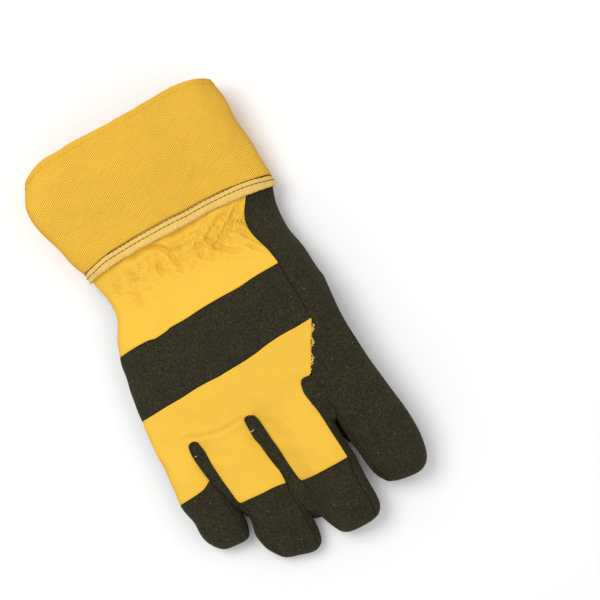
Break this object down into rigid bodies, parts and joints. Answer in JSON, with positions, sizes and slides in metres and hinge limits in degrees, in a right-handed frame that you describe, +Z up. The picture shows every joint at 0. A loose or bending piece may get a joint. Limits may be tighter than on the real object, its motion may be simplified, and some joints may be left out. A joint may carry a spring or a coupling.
{
  "type": "winter work glove",
  "caption": "Hollow right-hand winter work glove lying back up: canvas cuff, drill cloth back, leather palm, knuckle strap, fingertips and thumb.",
  "frame": {"origin": "on the floor, below the middle of the lying glove's bounding box", "axes": "-Y from the cuff to the fingertips, +X to the thumb's side, +Z up, out of the back of the hand"},
  "size_m": [0.1348, 0.2656, 0.0439],
  "materials": {
    "cuff_cloth": "matt yellow woven canvas",
    "back_cloth": "matt yellow cotton drill",
    "raw_canvas": "cream canvas with a raw edge",
    "leather": "rough dark split leather"
  },
  "bodies": {
    "root": {"cuff": "cuff_cloth", "cuff_strip": "raw_canvas", "wrist_back_cloth": "back_cloth", "hand_back_cloth": "back_cloth", "knuckle_strap": "leather", "pinky_tip_leather": "leather", "ring_tip_leather": "leather", "middle_tip_leather": "leather", "index_back_leather": "leather", "palm_leather": "leather", "fourchette_pinky_ring": "leather", "fourchette_ring_middle": "leather", "fourchette_middle_index": "leather", "thumb_back_leather": "leather", "thumb_front_leather": "leather"}
  },
  "joints": []
}
